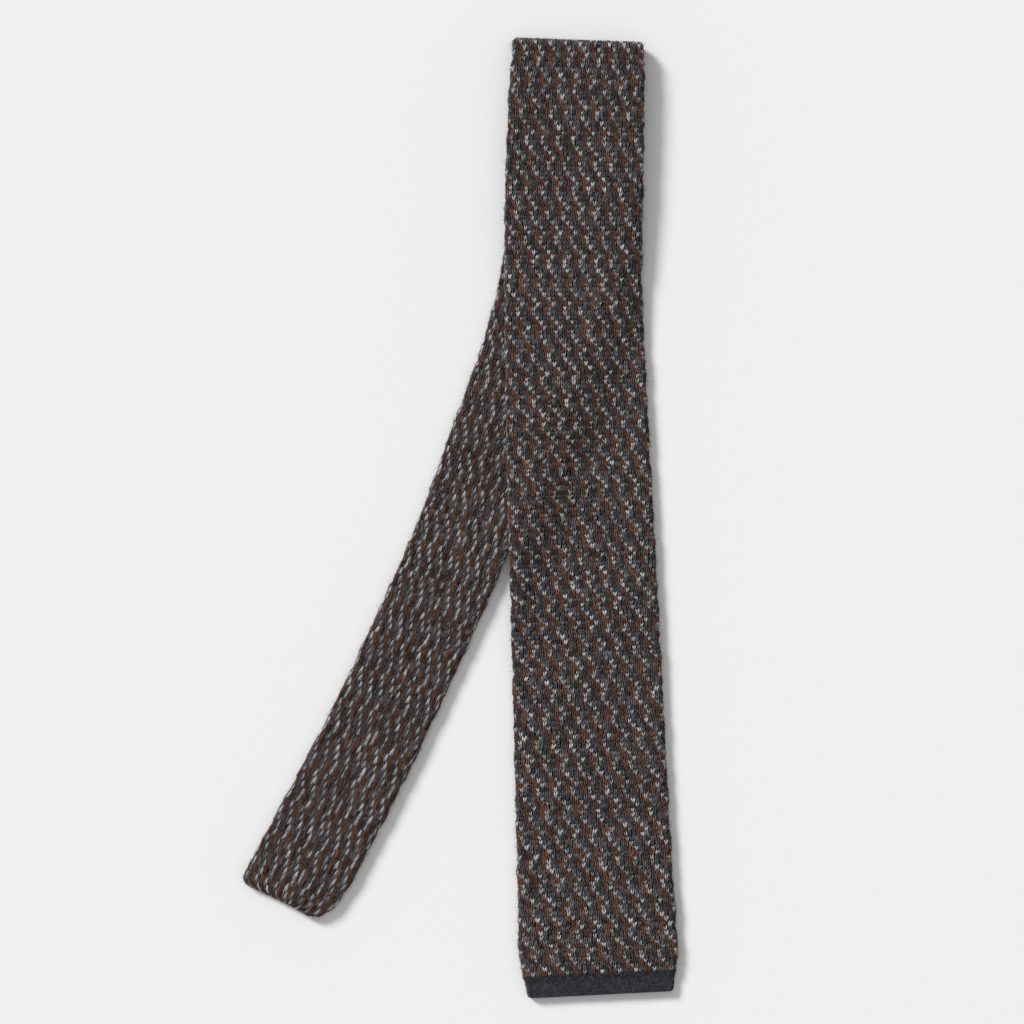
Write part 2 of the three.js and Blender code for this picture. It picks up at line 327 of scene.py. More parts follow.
def lift(x, y):
    side = np.interp(-y, -tail_side[:, 1], tail_side[:, 0])
    cosine = np.interp(-y, -tail_side[:, 1], tail_lean_cosine)
    beside = np.where(y < tail_side[-1, 1], DRAPE_RUN, (x - side) * cosine)
    return (LAYER + LAYER_GAP) * (1 - smoothstep(beside, 0, DRAPE_RUN))


print("lift at three places beside the tail:", lift(np.array([0, 20, 40]), np.full(3, -80.0)).round(2))

# %% [markdown]
# The second step is the section. Cut across, the flattened tube is two flats joined by a
# half-round at either side, which is five parts when the way round starts in the centre of the
# back. Each part has its own rule for where a point lies and which way is out, and `np.choose`
# takes the right one for thousands of points at once.

# %% Round the flattened section
def at(stations, along, columns):
    return [np.interp(along, stations[:, ALONG], stations[:, c]) for c in columns]


def section(stations, round_, along, height):
    """The place across and out of the front, of a point round the flattened section."""
    left, right, half = at(stations, along, (LEFT, RIGHT, HALF))
    flat_left, flat_right, side = left - half, right - half, np.pi * half
    way = (round_ % 1) * 2 * (flat_left + flat_right + side)
    ends = np.stack([flat_left, side, flat_left + flat_right, side], 0).cumsum(0)
    turn_left = (way - ends[0]) / half
    turn_right = (way - ends[2]) / half
    part = (way > ends).sum(0)
    zero, one = 0 * way, 0 * way + 1
    flats = [-way, -flat_left, -flat_left + way - ends[1], flat_right, flat_right - way + ends[3]]
    normal_a = [zero, -np.sin(turn_left), zero, np.sin(turn_right), zero]
    normal_e = [-one, -np.cos(turn_left), one, np.cos(turn_right), -one]
    normal_a, normal_e = np.choose(part, normal_a), np.choose(part, normal_e)
    curved = (part == 1) | (part == 3)
    a = np.choose(part, flats) + normal_a * (height + np.where(curved, half, 0))
    return a, normal_e * (half + height)


quarters = section(tie_stations, np.array([0.25, 0.5, 0.75]), np.full(3, BLADE_RUN / 2), np.zeros(3))
print("left, front and right of the blade, across and out:", np.round(quarters, 1).tolist())

# %% [markdown]
# The last step sets the section upright at its station. At the tail's end the surface turns over a
# half-round lip, so lengths there are measured over the lip. Its end line hangs out a little past
# the solid's, and is drawn in at the middle, as soft knit is.

# %% From round, along and height to a point
def on_tie(round_, along, height, stations=tie_stations):
    """Points in metres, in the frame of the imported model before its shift."""
    turn = ((along - END_FROM) / END_ROUND).clip(0, np.pi / 2)
    along = np.minimum(along, END_FROM) + END_ROUND * np.sin(turn)
    across, out = section(stations, round_, along, height * np.cos(turn))
    x, y, z, drapes = at(stations, along, (X, Y, Z, DRAPES))
    ax, ay, fx, fy, fz = at(stations, along, (ACROSS_X, ACROSS_Y, FRONT_X, FRONT_Y, FRONT_Z))
    middle_share = (1 - (2 * across / TAIL_WIDTH) ** 2).clip(0, 1)
    end_share = smoothstep(along, TIE_END - END_RUN, TIE_END)
    past = height * np.sin(turn) + end_share * (END_REACH - END_HOLLOW * middle_share)
    x, y = x + ax * across + fx * out + ay * past, y + ay * across + fy * out - ax * past
    return np.stack([x, y, z + fz * out + drapes.round() * lift(x, y)], -1) * MM


band_middle = on_tie(np.array([0.5]), np.zeros(1), np.zeros(1))[0]
print("top of the blade's end in mm:", (band_middle / MM).round(1))

# %% [markdown]
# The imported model's origin is below the middle of the whole tie. The same shift is found here from
# the outline of the tube, so that every point lands where the solids have it.

# %% The shift to the model's origin
OUTLINE_POINTS = 200  # round each station

outline_round, outline_along = np.meshgrid(
    np.linspace(0, 1, OUTLINE_POINTS), tie_stations[:, ALONG]
)
whole = on_tie(outline_round.ravel(), outline_along.ravel(), np.zeros(outline_along.size))
low, high = whole.min(0), whole.max(0)
SHIFT = np.array([*((np.array(cad_box[0]) + cad_box[1] - low - high) / 2)[:2], 0])
print("shift in mm:", (SHIFT / MM).round(2), "width", ((high - low) / MM).round(2))
print("packed width", ((np.array(cad_box[1]) - cad_box[0]) / MM).round(2))

# %% [markdown]
# ## How the stitches are counted
#
# The photograph shows about 35 columns of stitches across the blade, and with both sides and the
# back that makes 74 round the tube. The rows are closer together on the blade than on the tail,
# which is stretched longer and narrower. A short table gives the height of a row at a few places,
# and its running sum turns a row number into a distance along the tie.

# %% Columns and rows
COLUMNS_ROUND = 74
ROW_TABLE = {  # mm along the tie from the band's end, and the height of a row there
    "along": (8, 45, 80, 110, 137, 165, 205, 235, 270, 300, 330, 364, 374, 430, 500, 560, 610, 660,
              730),
    "height": (1.683, 1.878, 1.824, 1.761, 1.727, 1.743, 1.743, 1.76, 1.778, 1.873, 1.965, 2.071,
               2.098, 2.23, 2.398, 2.571, 2.755, 2.991, 3.056),
}
TAIL_STEP = 1.6  # mm by which the two joined edges are out of step on the tail
SPARE_ROWS = 20.0  # mm of rows past the end, for the rows that slope

BODY_START = BAND_LENGTH + FIT_GAP
row_along = np.arange(BODY_START, TIE_END + SPARE_ROWS, FINE_STEP)
row_height = np.interp(row_along, ROW_TABLE["along"], ROW_TABLE["height"])
row_count = np.concatenate([[0], np.cumsum(FINE_STEP / row_height[:-1])])
ROWS = int(np.interp(END_TO + TAIL_STEP, row_along, row_count)) + 1
print("rows:", ROWS, "on the blade:", int(np.interp(BLADE_RUN, row_along, row_count)))

# %% [markdown]
# Neither the columns nor the rows run quite true, and slow waves with fixed lengths make them
# wander. On the tail the rows also slope, more on one side of the join than on the other, and its
# two sides have come out of step by most of a row.

# %% From column and row to the tie
TAIL_SLOPE_LEFT = 0.087  # how far the rows drop to the left of the tail's seam
TAIL_SLOPE_RIGHT = 0.02
SLOPE_RUN = 60.0  # mm below the fold over which the slopes set in
STEP_ROUND = (0.5, 0.8)  # shares of the way round between which the step sets in
WANDER = 0.05  # in columns and rows
WANDER_LENGTHS = (17.0, 11.0)  # rows for a column's wave, and columns for a row's
WANDER_SKEW = (0.9, 0.7)  # radians by which the next column's or row's wave is ahead


def knitted_place(column, row, height):
    """How far round and along a point lies, by its column and row number."""
    by_row, by_column = 2 * np.pi / WANDER_LENGTHS[0], 2 * np.pi / WANDER_LENGTHS[1]
    wander_column = WANDER * np.sin(by_row * row + WANDER_SKEW[0] * column)
    wander_row = WANDER * np.sin(by_column * column + WANDER_SKEW[1] * row)
    round_ = (column + wander_column) / COLUMNS_ROUND
    along = np.interp(row + wander_row, row_count, row_along)
    across, _ = section(tie_stations, round_, along.clip(0, TIE_END), height)
    share = smoothstep(along, TAIL_START, TAIL_START + SLOPE_RUN)
    slope = np.where(across < 0, -TAIL_SLOPE_LEFT, TAIL_SLOPE_RIGHT) * across
    step = TAIL_STEP * smoothstep(round_ % 1, *STEP_ROUND)
    return round_, along + share * (slope - step)


def knitted(column, row, height):
    round_, along = knitted_place(column, row, height)
    return on_tie(round_, along.clip(0, END_TO), height) + SHIFT


last_row = knitted_place(np.full(1, COLUMNS_ROUND / 2), np.full(1, ROWS), np.zeros(1))
print("the last row's middle lies at", last_row[1].round(1), "of", round(END_TO, 1))

# %% [markdown]
# ## The colour chart
#
# The figure repeats every four columns and every ten rows, and its second half is the first half
# moved by two columns. It is charted as a knitter would: G is grey, D is charcoal, B is
# brown and b a duller brown. The top line is the row nearest to the fold. The chart starts at
# another stitch on the front than on the back, as it lies in the photograph.

# %% Chart of one repeat
CHART = ("GDbB", "BGDB", "GDbB", "GDDB", "BGDD", "bBGD", "DBBG", "bBGD", "DBGD", "DDBG")
CHART_START_FRONT = (6, 2)  # row and column
CHART_START_BACK = (3, 1)
QUARTER = 0.25  # of the way round, from the middle of the front to either side

chart = np.array([list(line) for line in CHART])
column_number, row_number = np.meshgrid(np.arange(COLUMNS_ROUND), np.arange(ROWS))
column_share = (column_number + 0.5) / COLUMNS_ROUND
on_front_half = abs(column_share - 0.5) < QUARTER
row_start, column_start = [
    np.where(on_front_half, *starts) for starts in zip(CHART_START_FRONT, CHART_START_BACK)
]
letter = chart[(row_start - row_number) % len(CHART), (column_start + column_number) % len(CHART[0])]
for name in "GDBb":
    print(name, int((letter == name).sum()))

# %% [markdown]
# ## Wool for the materials
#
# Woollen yarn is matt and hairy. It is never one colour: fibres of lighter and darker wool lie side
# by side along the strand, and no two stitches catch the light alike. One shader group makes this
# marl for every yarn. It needs a handful of small nodes again and again, so each gets a helper.

# %% Small helpers for nodes
def new_group(name, inputs, outputs):
    group = bpy.data.node_groups.new(name, "ShaderNodeTree")
    for direction, sockets in (("INPUT", inputs), ("OUTPUT", outputs)):
        for label, kind, value in sockets:
            socket = group.interface.new_socket(label, in_out=direction, socket_type=kind)
            if value is not None:
                socket.default_value = value
    ends = group.nodes.new("NodeGroupInput"), group.nodes.new("NodeGroupOutput")
    return group, *ends


def math_node(tree, operation, first, second):
    node = tree.nodes.new("ShaderNodeMath")
    node.operation = operation
    for socket, value in zip(node.inputs, (first, second)):
        if isinstance(value, (int, float)):
            socket.default_value = value
        else:
            tree.links.new(value, socket)
    return node.outputs[0]


def mix_colors(tree, factor, first, second):
    node = tree.nodes.new("ShaderNodeMix")
    node.data_type = "RGBA"
    tree.links.new(factor, node.inputs["Factor"])
    tree.links.new(first, node.inputs["A"])
    tree.links.new(second, node.inputs["B"])
    return node.outputs["Result"]


def noise(tree, vector, scale, detail):
    node = tree.nodes.new("ShaderNodeTexNoise")
    node.inputs["Scale"].default_value = scale
    node.inputs["Detail"].default_value = detail
    tree.links.new(vector, node.inputs["Vector"])
    return node.outputs["Fac"]


def attribute(tree, name, output):
    node = tree.nodes.new("ShaderNodeAttribute")
    node.attribute_name = name
    return node.outputs[output]


print("helpers:", [f.__name__ for f in (new_group, math_node, mix_colors, noise, attribute)])

# %% [markdown]
# The group reads three attributes that each stitch carries: where a point lies on its strand, a
# random tone of the whole stitch, and how near the point is to the top of the strand. The last is
# painted shading: a painted highlight on the strand's top and painted shade on its flanks. Their
# sum runs from the dark fibre by the main one to the light one.

# %% Shader group for marled wool
FIBRE_SCALE, FIBRE_DETAIL = 2.2, 3.0  # on the strand
PATCH_SCALE, PATCH_DETAIL = 140.0, 2.0  # on the object, 1/m
PATCH_SPREAD = 0.25
MIDDLE = 0.5  # of a tone and of a noise
# painted crest shading: strands are painted lighter above this share of their height and darker below
# it
PAINTED_CREST_MIDDLE = 0.45
DARKEST, LIGHTEST = -0.5, 0.6
ROUGHNESS_LOW, ROUGHNESS_SPREAD = 0.72, 0.2


def centred(tree, value, middle, spread):
    return math_node(tree, "MULTIPLY", math_node(tree, "SUBTRACT", value, middle), spread)


def ramp(tree, value, low, high):
    node = tree.nodes.new("ShaderNodeMapRange")
    node.inputs["From Min"].default_value = low
    node.inputs["From Max"].default_value = high
    tree.links.new(value, node.inputs["Value"])
    return node.outputs[0]


def make_marl():
    color, number = "NodeSocketColor", "NodeSocketFloat"
    group, start, end = new_group(
        "marled_wool",
        [
            ("Dark Fibre", color, None),
            ("Main Fibre", color, None),
            ("Light Fibre", color, None),
            ("Tone Spread", number, 0.5),
            ("Fibre Spread", number, 1.0),
            ("Painted Crest Shading", number, 0.0),
        ],
        [("Color", color, None), ("Height", number, None), ("Roughness", number, None)],
    )
    strand = attribute(group, "strand", "Vector")
    tone = attribute(group, "tone", "Fac")
    painted_crest_shading = attribute(group, "painted_crest_shading", "Fac")
    fibres = noise(group, strand, FIBRE_SCALE, FIBRE_DETAIL)
    object_place = group.nodes.new("ShaderNodeTexCoord").outputs["Object"]
    patches = noise(group, object_place, PATCH_SCALE, PATCH_DETAIL)
    total = centred(group, tone, MIDDLE, start.outputs["Tone Spread"])
    # The crest term is painted shading: a painted highlight on each strand's top, painted shade on its
    # flanks.
    for value, middle, spread in (
        (fibres, MIDDLE, start.outputs["Fibre Spread"]),
        (patches, MIDDLE, PATCH_SPREAD),
        (painted_crest_shading, PAINTED_CREST_MIDDLE, start.outputs["Painted Crest Shading"]),
    ):
        total = math_node(group, "ADD", total, centred(group, value, middle, spread))
    low_mix = mix_colors(group, ramp(group, total, DARKEST, 0.0), start.outputs["Dark Fibre"],
                         start.outputs["Main Fibre"])
    full_mix = mix_colors(group, ramp(group, total, 0.0, LIGHTEST), low_mix,
                          start.outputs["Light Fibre"])
    rough = math_node(group, "MULTIPLY", fibres, ROUGHNESS_SPREAD)
    group.links.new(full_mix, end.inputs["Color"])
    group.links.new(fibres, end.inputs["Height"])
    group.links.new(math_node(group, "ADD", rough, ROUGHNESS_LOW), end.inputs["Roughness"])
    return group


marl = make_marl()
print("group:", marl.name, [item.name for item in marl.interface.items_tree])

# %% [markdown]
# Each yarn is a material with its own dark, main and light fibre. The faint bloom of loose fibres
# comes from a little sheen, and a small bump on the strand gives the twist of the fibres.

# %% A material of wool
BUMP_STRENGTH = 0.5
BUMP_DEPTH = 0.15  # mm
SPECULAR_LEVEL = 0.2
SHEEN_WEIGHT, SHEEN_ROUGHNESS = 0.12, 0.5


def srgb(r, g, b):
    """A colour as seen on a screen, 0 to 255, as the linear colour that the shader takes."""
    c = np.array([r, g, b]) / 255
    return (*np.where(c <= 0.04045, c / 12.92, ((c + 0.055) / 1.055) ** 2.4), 1)


def wool(name, dark, main, light, tone_spread=0.7, fibre_spread=1.6, painted_crest_shading=0.0):
    material = bpy.data.materials.new(name)
    material.use_nodes = True
    tree = material.node_tree
    shader = tree.nodes["Principled BSDF"]
    group = tree.nodes.new("ShaderNodeGroup")
    group.node_tree = marl
    for label, value in (("Dark Fibre", dark), ("Main Fibre", main), ("Light Fibre", light)):
        group.inputs[label].default_value = srgb(*value)
    group.inputs["Tone Spread"].default_value = tone_spread
    group.inputs["Fibre Spread"].default_value = fibre_spread
    # the strength of the painted highlight and shade on the strands' crests
    group.inputs["Painted Crest Shading"].default_value = painted_crest_shading
    bump = tree.nodes.new("ShaderNodeBump")
    bump.inputs["Strength"].default_value = BUMP_STRENGTH
    bump.inputs["Distance"].default_value = BUMP_DEPTH * MM
    tree.links.new(group.outputs["Height"], bump.inputs["Height"])
    tree.links.new(group.outputs["Color"], shader.inputs["Base Color"])
    tree.links.new(group.outputs["Roughness"], shader.inputs["Roughness"])
    tree.links.new(bump.outputs["Normal"], shader.inputs["Normal"])
    shader.inputs["Specular IOR Level"].default_value = SPECULAR_LEVEL
    shader.inputs["Sheen Weight"].default_value = SHEEN_WEIGHT
    shader.inputs["Sheen Roughness"].default_value = SHEEN_ROUGHNESS
    return material


print("mid grey as linear light:", round(float(srgb(128, 128, 128)[0]), 3))

# %% [markdown]
# The colours are given as a screen shows them: the dark, the main and the light fibre of each wool.
# The loose fibres over a stitch are a lighter shade of its yarn, because light passes between them.
# Grey has the widest spread of tones. The ground and the joining yarn lie deep, so their colours are
# darkened as painted shade.

# %% The yarns and the table
# The sixth number of a wool, where there is one, is the strength of its painted crest shading.
YARNS = {
    "grey": wool("grey_wool", (52, 51, 53), (114, 114, 117), (190, 192, 195), 1.2, 2.8, 1.0),
    "charcoal": wool("charcoal_wool", (18, 15, 16), (51, 47, 50), (120, 117, 123), 0.7, 3.7, 0.6),
    "brown": wool("brown_wool", (23, 15, 13), (70, 46, 37), (134, 93, 73), 0.7, 3.7, 0.6),
}
FUZZ = {  # loose fibres of each yarn
    "grey": wool("grey_fuzz", (70, 69, 71), (130, 130, 133), (200, 202, 205), 1.3, 0.4),
    "charcoal": wool("charcoal_fuzz", (26, 24, 26), (76, 73, 77), (134, 133, 139), 1.3, 0.4),
    "brown": wool("brown_fuzz", (30, 20, 17), (94, 64, 50), (158, 116, 92), 1.3, 0.4),
}
# The ground's wool is darkened as painted shade in the gaps between the stitches.
ground_wool_painted_shade = wool("ground_wool_painted_shade", (24, 20, 21), (38, 33, 33), (58, 51, 50))
band_wool = wool("band_wool", (20, 18, 23), (46, 43, 50), (120, 119, 131), 0.5, 3.0, 1.0)
# The joining yarn's brown is darkened as painted shade of the valley that it lies in.
seam_wool_painted_shade = wool("seam_wool_painted_shade", (30, 20, 17), (60, 40, 33), (104, 74, 60), 0.6, 2.4)
print("materials:", [material.name for material in bpy.data.materials])

TABLE_ROUGHNESS = 0.9
floor_material = bpy.data.materials.new("pale_table")
floor_material.use_nodes = True
floor_shader = floor_material.node_tree.nodes["Principled BSDF"]
floor_shader.inputs["Base Color"].default_value = FLOOR_COLOR
floor_shader.inputs["Roughness"].default_value = TABLE_ROUGHNESS
floor.data.materials.append(floor_material)

# %% [markdown]
# ## The ground tube
#
# Behind the stitches lies the body of the jacquard: the floats and the back of the knit, which lie
# in deep shade. Its wool is the dark back of the yarns, darkened further as painted shade in the
# gaps between the stitches. It is a thin tube with the true hollow inside. A flat grid is laid round
# the tie twice, once as the outer skin and once as the slit. The two skins are bridged round the
# tube's open end, and each is closed at the tail's end. The band's tube is open at both ends.

# %% Two skins and a rim
GROUND_ROUND = 60  # faces round the tube
WELD = 1e-7  # m


def skin(bm, place, columns, rows):
    """A grid laid in space by place(round, share along) and welded round; gives its two rims."""
    share = bm.verts.layers.float["share"]
    made = bmesh.ops.create_grid(bm, x_segments=columns, y_segments=rows, size=0.5)["verts"]
    flat = np.array([v.co[:2] for v in made]) + 0.5
    for vertex, point, along in zip(made, place(flat[:, 0], flat[:, 1]), flat[:, 1]):
        vertex.co = point
        vertex[share] = along
    bmesh.ops.remove_doubles(bm, verts=made, dist=WELD)
    left = {v for v in made if v.is_valid}
    rim = [e for e in bm.edges if e.is_boundary and e.verts[0] in left]
    return [e for e in rim if e.verts[0][share] < 0.5], [e for e in rim if e.verts[0][share] > 0.5]


def tube_mesh(name, outer, inner, rows, closed, tone):
    """The wall between two skins, bridged at the start and closed or bridged at the end."""
    bm = bmesh.new()
    bm.verts.layers.float.new("share")
    outer_start, outer_end = skin(bm, outer, GROUND_ROUND, rows)
    inner_start, inner_end = skin(bm, inner, GROUND_ROUND, rows)
    bmesh.ops.bridge_loops(bm, edges=outer_start + inner_start)
    if closed:
        for edges in (outer_end, inner_end):
            bmesh.ops.holes_fill(bm, edges=edges, sides=0)
    else:
        bmesh.ops.bridge_loops(bm, edges=outer_end + inner_end)
    bmesh.ops.recalc_face_normals(bm, faces=bm.faces)
    # The wall's tone also sets its painted crest shading.
    for label in ("tone", "painted_crest_shading"):
        layer = bm.verts.layers.float.new(label)
        for vertex in bm.verts:
            vertex[layer] = tone
    mesh = bpy.data.meshes.new(name)
    bm.to_mesh(mesh)
    print(name, "faces", len(mesh.polygons), "open edges", sum(e.is_boundary for e in bm.edges))
    bm.free()
    return mesh


print("faces round a tube:", GROUND_ROUND)

# %% [markdown]
# Every piece of the tie rides on the one body and is shaded smooth. The ground tube stands for the
# imported body, and stays a little inside it.

# %% The ground of the body
GROUND_DEPTH = 0.9  # mm below the surface that the stitches reach
GROUND_PITCH = 3.0  # mm between rows of faces
GROUND_SHORT = 0.3  # mm by which it ends before the tie's end


def new_piece(name, mesh, material, *nodes, slot):
    piece = bpy.data.objects.new(name, mesh)
    bpy.context.collection.objects.link(piece)
    mesh.materials.append(material)
    mesh.polygons.foreach_set("use_smooth", np.ones(len(mesh.polygons), dtype=bool))
    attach(piece, "root")
    if nodes:
        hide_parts(*nodes)
    return piece


def body_skin(depth, from_end):
    def place(round_, share):
        along = BODY_START + share * (TIE_END - from_end - BODY_START)
        thick = at(tie_stations, along, (HALF,))[0] / (LAYER / 2)
        return on_tie(round_, along, -depth * thick) + SHIFT
    return place


body_rows = int((TIE_END - BODY_START) / GROUND_PITCH)
body_mesh = tube_mesh(
    "knit_cloth", body_skin(GROUND_DEPTH, GROUND_SHORT), body_skin(KNIT_WALL, 2 * KNIT_WALL),
    body_rows, closed=True, tone=0.0,
)
knit_cloth = new_piece("knit_cloth", body_mesh, ground_wool_painted_shade, "knit_body", slot="jacquard_knit")

# %% [markdown]
# ## One stitch
#
# Seen from its face, a knitted stitch is a V of two plump legs. The foot comes out from behind the
# stitch below, the legs rise over the ground, and their tops go behind the next row. In this wool
# the right leg is the longer one. Each leg is a small ball drawn out into a spindle and bent, with
# few faces, because it is repeated thousands of times.

# %% The legs of a stitch
OPEN_LEGS = (  # foot and top in columns and rows, half the leg's width in columns
    {"foot": (0.0, -0.68), "top": (0.38, 0.7), "half": 0.27},
    {"foot": (-0.08, -0.62), "top": (-0.38, 0.58), "half": 0.24},
)
FULL_LEGS = (
    {"foot": (0.1, -0.8), "top": (0.3, 0.8), "half": 0.24},
    {"foot": (-0.14, -0.76), "top": (-0.28, 0.76), "half": 0.23},
)
WIDE_LEGS = (
    {"foot": (0.14, -0.84), "top": (0.34, 0.84), "half": 0.27},
    {"foot": (-0.18, -0.8), "top": (-0.34, 0.8), "half": 0.26},
)
LEG_HEIGHT = 0.42  # mm, half the thickness of the strand
LEG_RISE = 0.26  # mm by which the middle stands above the ends
print("rows that a grey right leg spans:", round(OPEN_LEGS[0]["top"][1] - OPEN_LEGS[0]["foot"][1], 2))

# %% [markdown]
# The ball is turned so that it has a ridge on top, which catches the light. The height of each
# corner above the strand's middle is kept as an attribute for the wool's painted crest shading: a
# painted highlight on the strand's top and painted shade on its flanks. Faces that look up get a
# finer spindle than those that lie on the table.

# %% Spindles and templates
def spindle(bm, foot, top, half, sides, rings):
    foot, top = Vector((*foot, 0)), Vector((*top, 0))
    length = (top - foot).length
    verts = bmesh.ops.create_uvsphere(bm, u_segments=sides, v_segments=rings, radius=1)["verts"]
    ridge_up = Matrix.Rotation((-np.pi / 2) % (2 * np.pi / sides), 3, "Z")
    bmesh.ops.rotate(bm, verts=verts, cent=(0, 0, 0), matrix=ridge_up)
    bmesh.ops.rotate(bm, verts=verts, cent=(0, 0, 0), matrix=Matrix.Rotation(-np.pi / 2, 3, "X"))
    # Each corner's height above the strand's middle sets its painted crest shading: highlight on top,
    # shade on the flanks.
    painted_crest_shading = bm.verts.layers.float["painted_crest_shading"]
    for vertex in verts:
        vertex[painted_crest_shading] = max(vertex.co.z, 0)
    bmesh.ops.scale(bm, verts=verts, vec=(half, length / 2, LEG_HEIGHT))
    for vertex in verts:
        vertex.co.z -= LEG_RISE * (2 * vertex.co.y / length) ** 2
    lean = -Vector((0, 1, 0)).angle(top - foot) * np.sign(top.x - foot.x)
    bmesh.ops.rotate(bm, verts=verts, cent=(0, 0, 0), matrix=Matrix.Rotation(lean, 3, "Z"))
    bmesh.ops.translate(bm, verts=verts, vec=(foot + top) / 2)


def stitch_template(name, sides, rings, legs):
    bm = bmesh.new()
    # a layer for the painted crest shading
    bm.verts.layers.float.new("painted_crest_shading")
    for leg in legs:
        spindle(bm, leg["foot"], leg["top"], leg["half"], sides, rings)
    bmesh.ops.recalc_face_normals(bm, faces=bm.faces)
    mesh = bpy.data.meshes.new(name)
    bm.to_mesh(mesh)
    bm.free()
    mesh.calc_loop_triangles()
    print(name, "triangles:", len(mesh.loop_triangles))
    return mesh


LEGS = {"grey": OPEN_LEGS, "charcoal": FULL_LEGS, "brown": WIDE_LEGS}
FACE_RINGS = {"grey": 4, "charcoal": 3, "brown": 3}
TEMPLATES = {}
for yarn, legs in LEGS.items():
    TEMPLATES["face", yarn] = stitch_template(f"{yarn}_face_stitch", 4, FACE_RINGS[yarn], legs)
    TEMPLATES["under", yarn] = stitch_template(f"{yarn}_under_stitch", 3, 3, legs)

# %% [markdown]
# To repeat a shape, an Array modifier makes as many copies as there are stitches in one long row.
# Its result is taken as one joined mesh, in which every copy's corners follow each other. The
# copies can then be moved as one block of numbers, far quicker than thousands of objects could.

# %% Repeat a shape
def repeated(name, template, count):
    holder = bpy.data.objects.new(name, template)
    bpy.context.collection.objects.link(holder)
    array = holder.modifiers.new("copies", "ARRAY")
    array.count = count
    array.use_relative_offset = False
    array.use_constant_offset = True
    array.constant_offset_displace = (0, 0, 0)
    evaluated = holder.evaluated_get(bpy.context.evaluated_depsgraph_get())
    mesh = bpy.data.meshes.new_from_object(evaluated)
    mesh.name = name
    bpy.data.objects.remove(holder)
    co = np.empty(len(mesh.vertices) * 3)
    mesh.vertices.foreach_get("co", co)
    return mesh, co.reshape(count, -1, 3)


def write_mesh(mesh, points, tone, strand):
    mesh.vertices.foreach_set("co", points.reshape(-1))
    mesh.attributes.new("tone", "FLOAT", "POINT").data.foreach_set("value", tone.reshape(-1))
    mesh.attributes.new("strand", "FLOAT_VECTOR", "POINT").data.foreach_set(
        "vector", strand.reshape(-1)
    )
    mesh.update()


print("attributes of a repeated mesh: tone, strand and the template's crest")

# %% [markdown]
# Copy number n goes to stitch number n, and its flat shape is bent round the tie by the laying
# function. Small random shifts of each stitch and each leg keep the knitting from looking ruled,
# and a random tone for each keeps the yarn from looking printed.

# %% Knit a piece
STITCH_LEVEL = -0.3  # mm, the legs' middle below the surface
STITCH_SHIFT = 0.08  # in columns and rows
STITCH_SWELL = 0.18
LEVEL_SHIFT = 0.08  # mm
LEG_SHIFT = 0.07  # in columns
LEG_LEAN = 0.14  # in columns for each row
LEG_TONE, STITCH_TONE = 0.3, 0.25
DULL_TONE = 0.5  # taken off the tone of the duller yarn
STRAND_STRETCH = np.array([4.0, 0.8, 4.0])  # the marl is drawn out along the strand
STRAND_PLACES = 900  # each strand reads its marl somewhere else


def jitter(count, amount):
    return rng.uniform(-amount, amount, (count, 1))


def knit_piece(name, template, columns, rows, material, dull, laid=knitted, level=STITCH_LEVEL):
    count = len(columns)
    mesh, shape = repeated(name, template, count)
    first_leg = np.arange(shape.shape[1]) < shape.shape[1] // 2

    def leg_jitter(amount):
        return np.where(first_leg, jitter(count, amount), jitter(count, amount))

    swell = 1 + jitter(count, STITCH_SWELL)
    column = columns[:, None] + 0.5 + jitter(count, STITCH_SHIFT) + shape[:, :, 0] * swell
    column += leg_jitter(LEG_SHIFT) + leg_jitter(LEG_LEAN) * shape[:, :, 1]
    row = rows[:, None] + 0.5 + jitter(count, STITCH_SHIFT) + shape[:, :, 1] * swell
    height = level + jitter(count, LEVEL_SHIFT) + shape[:, :, 2]
    points = laid(column.ravel(), row.ravel(), height.ravel())
    tone = MIDDLE + leg_jitter(LEG_TONE) + jitter(count, STITCH_TONE) - dull[:, None] * DULL_TONE
    strand = shape * STRAND_STRETCH + rng.uniform(0, STRAND_PLACES, (count, 1, 3))
    write_mesh(mesh, points, tone, strand)
    print(name, "stitches", count, "triangles", count * len(template.loop_triangles))
    return new_piece(name, mesh, material, slot="jacquard_knit")


print("random shift of a stitch in columns and rows:", STITCH_SHIFT)

# %% [markdown]
# The stitches are knitted in pieces of one yarn on one face, so that no piece grows too heavy. The
# faces that the photograph shows get full stitches, and the undersides get plainer ones. Where the
# blade hides the tail's back, and the tail the blade's back, there are none to see, so first each
# stitch's place is worked out, and the hidden ones are found.

# %% Where each stitch lies
EDGE_SHARE = 0.3  # of a layer's thickness: what lies lower than this belongs to the other face
HIDDEN_MARGIN = 6.0  # mm of stitches that are kept inside the hidden part

row_place = np.interp(row_number + 0.5, row_count, row_along)
_, laid_along = knitted_place(column_number + 0.5, row_number + 0.5, 0.0 * row_number)
is_laid = laid_along < END_TO
row_place = row_place.clip(0, TIE_END)
is_blade = row_place < BLADE_RUN + FOLD_RUN / 2
out_place = section(tie_stations, column_share, row_place, 0 * row_place)[1]
is_front = out_place > -LAYER * EDGE_SHARE
is_back = out_place < LAYER * EDGE_SHARE

